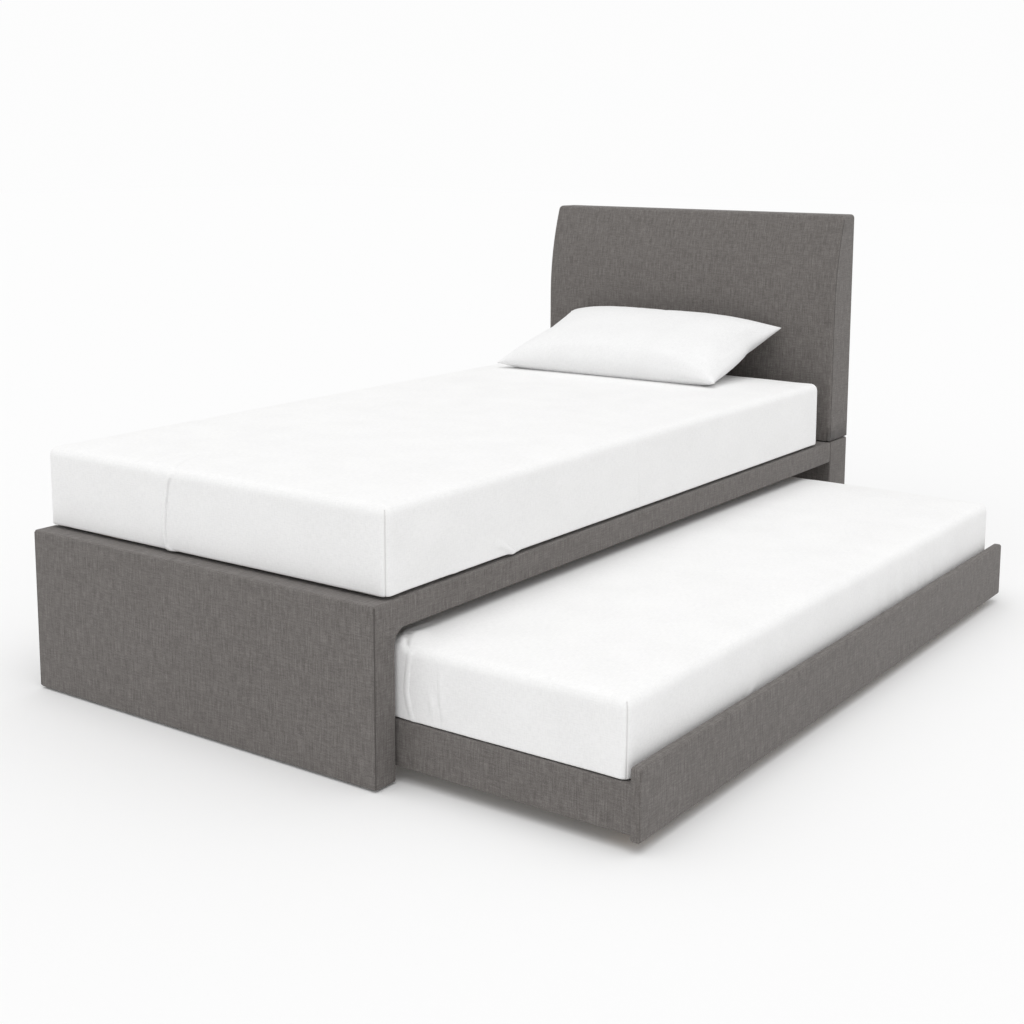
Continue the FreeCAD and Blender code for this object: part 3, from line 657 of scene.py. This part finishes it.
def headboard_seams(materials, front):
    """A seam up each side of the headboard, where its rounded front edge ends."""
    low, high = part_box("headboard_cover")
    bottom = low.z + HEADBOARD_SEAM_ENDS[0]
    rise = high.z - low.z - sum(HEADBOARD_SEAM_ENDS)
    steps = HEADBOARD_SEAM_STEPS
    levels = [bottom + rise * i / steps for i in range(steps + 1)]
    for name, x in (("headboard_right_seam", high.x), ("headboard_left_seam", low.x)):
        points = [(x, front(z) + HEADBOARD_EDGE, z) for z in levels]
        seam(name, points, "bed_base", materials, HEADBOARD_SEAM_RADIUS)


def fascia_seams(materials):
    """A seam up each end of the fascia's outer face."""
    low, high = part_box("fascia_cover")
    x = high.x - FASCIA_SEAM_INSET
    foot_y, head_y = low.y + FASCIA_SEAM_INSET, high.y - FASCIA_SEAM_INSET
    for name, y in (("fascia_foot_seam", foot_y), ("fascia_head_seam", head_y)):
        points = [(x, y, low.z + FASCIA_SEAM_END), (x, y, high.z - FASCIA_SEAM_END)]
        seam(name, points, "trundle", materials, FASCIA_SEAM_RADIUS)


# ---- soft pieces --------------------------------------------------------------------

def stations(low, high, edge, cell, fine=()):
    """Grid places from low to high: close in the rounded edges and near each fine place."""
    steps = 7
    edges = [edge * (1 - math.cos(math.radians(90 * i / steps))) for i in range(steps)]
    count = max(2, round((high - low - 2 * edge) / cell))
    inner = [low + edge + (high - low - 2 * edge) * i / count for i in range(count + 1)]
    values = [low + e for e in edges] + inner + [high - e for e in edges]
    for place in fine:
        values = [v for v in values if abs(v - place) > CREASE_ZONE]
        zone = int(CREASE_ZONE / CREASE_CELL)
        values += [place + CREASE_CELL * i for i in range(-zone, zone + 1)]
    values = sorted(v for v in values if low <= v <= high)
    kept = [values[0]]
    for value in values[1:]:
        if value - kept[-1] > 1e-4:
            kept.append(value)
    return np.array(kept)


def grid_box(xs, ys, zs):
    """The surface of a box as a grid: (points, quads) with shared corners."""
    index, points, quads = {}, [], []

    def at(i, j, k):
        key = (i, j, k)
        if key not in index:
            index[key] = len(points)
            points.append((xs[i], ys[j], zs[k]))
        return index[key]

    nx, ny, nz = len(xs) - 1, len(ys) - 1, len(zs) - 1
    for i in range(nx):
        for j in range(ny):
            quads.append([at(i, j, nz), at(i + 1, j, nz), at(i + 1, j + 1, nz), at(i, j + 1, nz)])
            quads.append([at(i, j, 0), at(i, j + 1, 0), at(i + 1, j + 1, 0), at(i + 1, j, 0)])
    for i in range(nx):
        for k in range(nz):
            quads.append([at(i, 0, k), at(i + 1, 0, k), at(i + 1, 0, k + 1), at(i, 0, k + 1)])
            quads.append([at(i, ny, k), at(i, ny, k + 1), at(i + 1, ny, k + 1), at(i + 1, ny, k)])
    for j in range(ny):
        for k in range(nz):
            quads.append([at(nx, j, k), at(nx, j + 1, k), at(nx, j + 1, k + 1), at(nx, j, k + 1)])
            quads.append([at(0, j, k), at(0, j, k + 1), at(0, j + 1, k + 1), at(0, j + 1, k)])
    return np.array(points), quads


def round_off(points, low, high, corner, bottom_rim, top_rim):
    """Round a box surface: its bottom and top rims, and its upright corners by corner."""
    centre, half = (low + high) / 2, (high - low) / 2
    p = points - centre
    inset = np.minimum(half[0] - np.abs(p[:, 0]), half[1] - np.abs(p[:, 1]))
    depth = half[2] - np.abs(p[:, 2])
    rim = np.where(p[:, 2] > 0, top_rim, bottom_rim)
    a, b = np.clip(rim - inset, 0, None), np.clip(rim - depth, 0, None)
    reach = np.hypot(a, b)
    turn = (a > 0) & (b > 0)
    scale = np.where(turn, np.maximum(a, b) / np.maximum(reach, 1e-9), 1.0)
    new_inset = np.where(turn, rim - a * scale, inset)
    new_depth = np.where(turn, rim - b * scale, depth)
    for axis in (0, 1):
        p[:, axis] *= (half[axis] - new_inset) / np.maximum(half[axis] - inset, 1e-9)
    p[:, 2] = np.sign(p[:, 2]) * (half[2] - new_depth)
    q = np.abs(p[:, :2]) - (half[:2] - corner)
    both = (q > 0).all(1)
    longest, length = q.max(1), np.hypot(q[:, 0], q[:, 1])
    q *= np.where(both, longest / np.maximum(length, 1e-9), 1.0)[:, None]
    p[:, :2] = np.sign(p[:, :2]) * (q + half[:2] - corner)
    return p + centre


def get_points(mesh):
    values = np.empty(len(mesh.vertices) * 3)
    mesh.vertices.foreach_get("co", values)
    return values.reshape(-1, 3)


def set_points(mesh, points):
    mesh.vertices.foreach_set("co", np.ascontiguousarray(points).ravel())
    mesh.update()


def get_normals(mesh):
    values = np.empty(len(mesh.vertices) * 3)
    mesh.vertex_normals.foreach_get("vector", values)
    return values.reshape(-1, 3)


def swell(obj, pressure, frames, cap, stiffness=15.0):
    """Blow the piece up as cloth under pressure, move no point more than cap, and keep the shape."""
    start = get_points(obj.data)
    cloth = obj.modifiers.new("cloth", "CLOTH")
    cloth.settings.quality = 5
    cloth.settings.mass = 0.3
    cloth.settings.tension_stiffness = stiffness
    cloth.settings.compression_stiffness = stiffness
    cloth.settings.shear_stiffness = stiffness / 3
    cloth.settings.bending_stiffness = 0.5
    cloth.settings.use_pressure = True
    cloth.settings.uniform_pressure_force = pressure
    cloth.settings.effector_weights.gravity = 0.0
    cloth.collision_settings.use_collision = False
    scene = bpy.context.scene
    for step in range(1, frames + 1):
        scene.frame_set(step)
    evaluated = obj.evaluated_get(bpy.context.evaluated_depsgraph_get())
    moved = get_points(evaluated.data) - start
    obj.modifiers.remove(cloth)
    length = np.linalg.norm(moved, axis=1, keepdims=True)
    moved *= np.minimum(1.0, cap / np.maximum(length, 1e-9))
    set_points(obj.data, start + moved)
    scene.frame_set(1)


def subdivide(obj):
    """Replace the piece's mesh by one that is a level finer."""
    modifier = obj.modifiers.new("finer", "SUBSURF")
    modifier.levels = 1
    modifier.render_levels = 1
    evaluated = obj.evaluated_get(bpy.context.evaluated_depsgraph_get())
    mesh = bpy.data.meshes.new_from_object(evaluated)
    old = obj.data
    obj.modifiers.remove(modifier)
    obj.data = mesh
    bpy.data.meshes.remove(old)


def crease(points, normals, path, depth, width, lift=0.0, side=1):
    """A groove along path with a lifted lip on one side: each point's move and its share of painted
    shade.
    """
    move, line = np.zeros(len(points)), np.zeros(len(points))
    best = np.full(len(points), np.inf)
    total = len(path) - 1
    for i, (start, end) in enumerate(zip(path, path[1:])):
        a, b = np.array(start), np.array(end)
        run = b - a
        share = np.clip(((points - a) @ run) / (run @ run), 0, 1)
        nearest = a + share[:, None] * run
        away = points - nearest
        distance = np.linalg.norm(away, axis=1)
        along = (i + share) / total
        taper = np.sin(np.pi * np.clip(along * 0.96 + 0.02, 0, 1)) ** 0.35
        way = np.sign((np.cross(run, away) * normals).sum(1)) * side
        groove = -depth * np.exp(-(distance / width) ** 2)
        lip = lift * np.exp(-((distance - 2.6 * width) / (2.2 * width)) ** 2) * (way > 0)
        closer = distance < best
        best = np.where(closer, distance, best)
        move = np.where(closer, (groove + lip) * taper, move)
        # Painted shade: darkest on the crease line, fading away from it.
        line = np.where(closer, np.exp(-(distance / (0.5 * width + 0.0005)) ** 2) * taper, line)
    return move, line


def crown(points, low, high, amount):
    """A gentle rise towards the middle of the top."""
    share = (points[:, :2] - low[:2]) / (high[:2] - low[:2])
    rise = np.clip(4 * share * (1 - share), 0, 1) ** 0.4
    top = np.clip((points[:, 2] - low[2]) / (high[2] - low[2]), 0, 1) ** 4
    return amount * rise[:, 0] * rise[:, 1] * top


def waves(points, spans, seed):
    """A slow, small unevenness, as filling under a cover has."""
    random = np.random.default_rng(seed)
    total = np.zeros(len(points))
    for span in spans:
        for _ in range(5):
            direction = random.normal(size=3)
            direction /= np.linalg.norm(direction)
            phase = random.uniform(0, 2 * math.pi)
            total += np.sin(points @ direction * (2 * math.pi / span) + phase)
    return total / (5 * len(spans))


def lifted(points, low, high, lift):
    """Raise the cover's bottom border a little, so that it rests inside its edge."""
    inset = np.minimum(points[:, :2] - low[:2], high[:2] - points[:, :2]).min(1)
    share = np.clip(1.6 - inset / MATTRESS_LIFT_REACH, 0, 1)
    height = np.clip(1 - (points[:, 2] - low[2]) / (4 * MATTRESS_LIFT_REACH), 0, 1)
    points[:, 2] += lift * share * height
    return points


def corner_stitch(points, low, high):
    """How near each point is to the stitch line that runs up each corner."""
    inset = np.minimum(points[:, :2] - low[:2], high[:2] - points[:, :2])
    near = inset.max(1) < MATTRESS_CORNER
    sides = (points[:, 2] > low[2] + 0.004) & (points[:, 2] < high[2] - 0.008)
    return np.exp(-((inset[:, 0] - inset[:, 1]) / STITCH_WIDTH) ** 2) * near * sides


def mattress(name, node, body, materials, top_rim, lift, fine_x, fine_y, creases, seed):
    """A mattress in a knitted cover: soft rims, corner seams, and creases in the cover, with painted
    shade along the creases and seams.
    """
    low, high = (np.array(corner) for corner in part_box(node))
    inset = np.array([MATTRESS_SWELL, MATTRESS_SWELL, MATTRESS_TOP_SWELL]) * SWELL_SHARE
    low_in, high_in = low + inset, high - inset
    xs = stations(low_in[0], high_in[0], MATTRESS_CORNER, MATTRESS_CELL, fine_x)
    ys = stations(low_in[1], high_in[1], MATTRESS_CORNER, MATTRESS_CELL, fine_y)
    zs = stations(low_in[2], high_in[2], top_rim, MATTRESS_CELL)
    points, quads = grid_box(xs, ys, zs)
    points = round_off(points, low_in, high_in, MATTRESS_CORNER, MATTRESS_BOTTOM_RIM, top_rim)
    points = lifted(points, low_in, high_in, lift)
    mesh = bpy.data.meshes.new(name)
    mesh.from_pydata(points.tolist(), [], quads)
    mesh.update()
    mesh.shade_smooth()
    obj = piece(name, mesh, body, materials["mattress"], [node])
    swell(obj, pressure=4.0, frames=14, cap=MATTRESS_SWELL)
    subdivide(obj)
    mesh = obj.data
    points, normals = get_points(mesh), get_normals(mesh)
    side = 1 - np.abs(normals[:, 2])
    move = FILLING_HEIGHT * waves(points, FILLING_SPANS, seed) * (0.3 + 0.7 * side)
    move += crown(points, low, high, MATTRESS_CROWN)
    # Painted shade: a share along each crease and up each corner stitch darkens the cover's colour where
    # shade falls in the grooves.
    shade = np.zeros(len(points))
    for path, depth, width, lift, way, dark in creases(low, high):
        fold, line = crease(points, normals, path, depth, width, lift, way)
        move += fold
        shade += dark * line
    stitched = corner_stitch(points, low, high)
    move -= STITCH_DEPTH * stitched
    shade += STITCH_SHADE * stitched
    points = points + normals * move[:, None]
    points[:, 2] = np.maximum(points[:, 2], low[2] + MATTRESS_REST_GAP)
    set_points(mesh, points)
    # The painted shade goes into the layer that the cover's material mixes towards FOLD_SHADE.
    layer = mesh.attributes.new(FOLD_SHADE_LAYER, "FLOAT", "POINT")
    layer.data.foreach_set("value", np.clip(shade, 0, 1))
    mesh.shade_smooth()


def upper_creases(low, high):
    """Creases of the upper mattress cover: a fold at the foot end, one on the side, a tuck."""
    fold_x = (low[0] + high[0]) / 2 - UPPER_FOLD_LEFT
    foot, side, base, top = low[1], high[0], low[2], high[2]
    fold = [
        (fold_x + 0.016, foot, base + 0.005), (fold_x + 0.001, foot, base + 0.018),
        (fold_x - 0.003, foot, base + 0.050), (fold_x + 0.002, foot, base + 0.104),
        (fold_x + 0.010, foot, base + 0.147), (fold_x + 0.020, foot, base + 0.168),
    ]
    over_top = [
        (fold_x + 0.022, foot + 0.008, top - 0.006), (fold_x - 0.001, foot + 0.047, top),
        (fold_x - 0.021, foot + 0.097, top), (fold_x - 0.031, foot + 0.143, top),
    ]
    second = [
        (fold_x - 0.035, foot + 0.004, top - 0.008), (fold_x - 0.054, foot + 0.034, top),
        (fold_x - 0.056, foot + 0.090, top), (fold_x - 0.047, foot + 0.160, top),
    ]
    side_y = foot + 0.904
    side_fold = [
        (side, side_y + 0.008, base + 0.012), (side, side_y + 0.005, base + 0.040),
        (side, side_y, base + 0.100), (side, side_y - 0.010, base + 0.153),
    ]
    tuck = [
        (side, foot + 0.420, base + 0.007), (side, foot + 0.402, base + 0.020),
        (side, foot + 0.378, base + 0.034), (side, foot + 0.352, base + 0.044),
    ]
    small = [(side, foot + 0.221, base + 0.015), (side, foot + 0.215, base + 0.043)]
    # Each entry: path, depth, width, lift, lip side, and the share of painted shade along the crease
    # line.
    return [
        (fold, 0.0095, 0.0026, 0.0040, 1, 1.0), (over_top, 0.0018, 0.006, 0.0018, 1, 0.05),
        (second, 0.0012, 0.007, 0.0014, 1, 0.03), (side_fold, 0.0052, 0.0021, 0.0014, 1, 0.7),
        (tuck, 0.0046, 0.0030, 0.0050, 1, 0.45), (small, 0.0020, 0.0040, 0.0014, 1, 0.15),
    ]


def trundle_creases(low, high):
    """Creases of the trundle mattress cover: a band fold at the foot end, ripples on the side."""
    foot, side, base, top = low[1], high[0], low[2], high[2]
    band_x = low[0] + 0.355
    band = [
        (band_x + 0.014, foot, base + 0.006), (band_x + 0.005, foot, base + 0.034),
        (band_x, foot, base + 0.062), (band_x + 0.004, foot, base + 0.103),
        (band_x + 0.010, foot, base + 0.136),
    ]
    band_back = [(x + 0.012, y, z) for x, y, z in band]
    pinch = [
        (band_x + 0.008, foot + 0.006, top - 0.003), (band_x - 0.016, foot + 0.038, top),
        (band_x - 0.028, foot + 0.066, top), (band_x - 0.029, foot + 0.143, top),
    ]
    hump = [(band_x - 0.010, foot + 0.020, top), (band_x - 0.020, foot + 0.080, top)]
    faint = [
        (low[0] + 0.437, foot, base + 0.110), (low[0] + 0.438, foot, base + 0.070),
        (low[0] + 0.446, foot, base + 0.020),
    ]
    short = [(low[0] + 0.412, foot, base + 0.066), (low[0] + 0.420, foot, base + 0.028)]
    side_y = foot + 0.948
    side_fold = [
        (side, side_y, base + 0.010), (side, side_y + 0.001, base + 0.070),
        (side, side_y - 0.004, base + 0.118),
    ]
    # Each entry: path, depth, width, lift, lip side, and the share of painted shade along the crease
    # line.
    found = [
        (band, 0.0060, 0.0026, 0.0010, -1, 0.85), (band_back, 0.0040, 0.0026, 0.0010, 1, 0.40),
        (pinch, 0.0040, 0.0040, 0.0030, 1, 0.55), (hump, -0.0060, 0.0280, 0.0, 1, 0.0),
        (faint, 0.0026, 0.0030, 0.0014, 1, 0.22), (short, 0.0020, 0.0030, 0.0014, 1, 0.18),
        (side_fold, 0.0048, 0.0022, 0.0014, 1, 0.6),
    ]
    for i in range(9):
        y = foot + 1.105 + 0.047 * i
        reach = 0.045 + 0.035 * ((i * 5) % 3)
        path = [(side, y, base + 0.020), (side, y - 0.012, base + 0.020 + reach)]
        found.append((path, 0.0022 + 0.0008 * (i % 2), 0.006, 0.0018, 1 if i % 2 else -1, 0.06))
    bulge = [
        (side, foot + 0.470, base + 0.052), (side, foot + 0.448, base + 0.034),
        (side, foot + 0.440, base + 0.020),
    ]
    found.append((bulge, 0.0022, 0.005, 0.0018, 1, 0.1))
    return found


def pillow(materials):
    """Two sheets sewn round the edge and blown up, then laid with its back on the headboard."""
    low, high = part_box("pillow")
    wide, deep = PILLOW_SIZE
    nx, ny = round(wide / PILLOW_CELL), round(deep / PILLOW_CELL)
    random = np.random.default_rng(11)
    index, points, quads = {}, [], []

    def at(i, j, face):
        edge = i in (0, nx) or j in (0, ny)
        key = (i, j, 0 if edge else face)
        if key not in index:
            u, v = 2 * i / nx - 1, 2 * j / ny - 1
            fill = (1 - abs(u) ** 3.4) ** 0.72 * (1 - abs(v) ** 3.2) ** 0.66
            pull_u = 0.030 * (1 - v ** 2) * abs(u) ** 4
            pull_v = 0.012 * (1 - u ** 2) * abs(v) ** 4
            index[key] = len(points)
            points.append((
                u * (wide / 2 - pull_u), v * (deep / 2 - pull_v),
                0 if edge else face * PILLOW_HALF_HEIGHT * fill + random.normal() * 0.0002,
            ))
        return index[key]

    for i in range(nx):
        for j in range(ny):
            corners = [(i, j), (i + 1, j), (i + 1, j + 1), (i, j + 1)]
            quads.append([at(*c, 1) for c in corners])
            quads.append([at(*c, -1) for c in reversed(corners)])
    mesh = bpy.data.meshes.new("pillow_case")
    mesh.from_pydata(points, [], quads)
    mesh.update()
    mesh.shade_smooth()
    obj = piece("pillow_case", mesh, "bed_base", materials["pillow"], ["pillow"])
    swell(obj, pressure=3.0, frames=12, cap=PILLOW_SWELL, stiffness=25.0)
    subdivide(obj)
    lay_pillow(obj, np.array(low), np.array(high))


def lay_pillow(obj, low, high):
    """Lean the pillow back: its front edge on the mattress, its back edge on the headboard."""
    points = get_points(obj.data)
    bed_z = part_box("upper_mattress")[1].z
    mattress_top = bed_z + MATTRESS_RISE
    board_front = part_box("headboard_cover")[0].y
    front = np.array([low[1] + PILLOW_EDGE_GAP, bed_z + PILLOW_FRONT_RISE])
    back = np.array([high[1] - PILLOW_EDGE_GAP, bed_z + PILLOW_BACK_RISE])
    along = back - front
    length = np.linalg.norm(along)
    along /= length
    up = np.array([-along[1], along[0]])
    share = np.clip(points[:, 1] / PILLOW_SIZE[1] + 0.5, 0, 1)
    thick = points[:, 2]
    sag = -PILLOW_SAG * np.sin(np.pi * np.clip(share, 0, 1))
    y = front[0] + along[0] * share * length + up[0] * (thick + sag)
    z = front[1] + along[1] * share * length + up[1] * (thick + sag)
    across = points[:, 0] / PILLOW_SIZE[0] + 0.5
    left = low[0] - 0.014 * (1 - share) + 0.004
    right = high[0] - 0.032 * (1 - share) + 0.006
    outer = np.clip(across, 0, 1) ** 8
    bulge = 0.010 * np.exp(-((share - 0.38) / 0.18) ** 2) - 0.014 * np.exp(-((share - 0.72) / 0.11) ** 2)
    x = left + (right - left) * across + outer * bulge
    y = y - PILLOW_SKEW * (1 - share) * (0.5 - across)
    droop = np.clip(np.abs(points[:, 0]) / (PILLOW_SIZE[0] / 2), 0, 1) ** 6
    z = z - PILLOW_DROOP * droop * (1 - share)
    z = np.where(z < mattress_top, mattress_top + 0.15 * (z - mattress_top), z)
    z = np.maximum(z, mattress_top - 0.004)
    y = np.minimum(y, board_front - 0.001)
    set_points(obj.data, np.stack([x, y, z], 1))
    obj.data.shade_smooth()


# ---- build ------------------------------------------------------------------------

materials = all_materials()
camera()
lights()
floor()
finish_cad_nodes(materials)
foot_and_rail(materials)
upholstered_box("head_panel_cloth", "head_cover", "bed_base", materials, COVER_BEVEL)
upholstered_box("back_panel_cloth", "back_cover", "bed_base", materials, COVER_BEVEL)
upholstered_box("fascia_cloth", "fascia_cover", "trundle", materials, FASCIA_BEVEL)
trundle_wrap(materials)
front = headboard_cloth(materials)
foot_seams(materials)
headboard_seams(materials, front)
fascia_seams(materials)

upper_low, upper_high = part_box("upper_mattress")
mattress(
    "upper_mattress_knit", "upper_mattress", "bed_base", materials,
    top_rim=0.020, lift=0.0055,
    fine_x=[(upper_low.x + upper_high.x) / 2 - UPPER_FOLD_LEFT],
    fine_y=[upper_low.y + 0.908, upper_low.y + 0.405, upper_low.y + 0.355],
    creases=upper_creases, seed=5,
)
lower_low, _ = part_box("trundle_mattress")
mattress(
    "trundle_mattress_knit", "trundle_mattress", "trundle", materials,
    top_rim=0.022, lift=0.0010,
    fine_x=[lower_low.x + 0.364, lower_low.x + 0.432], fine_y=[lower_low.y + 0.948],
    creases=trundle_creases, seed=8,
)
pillow(materials)
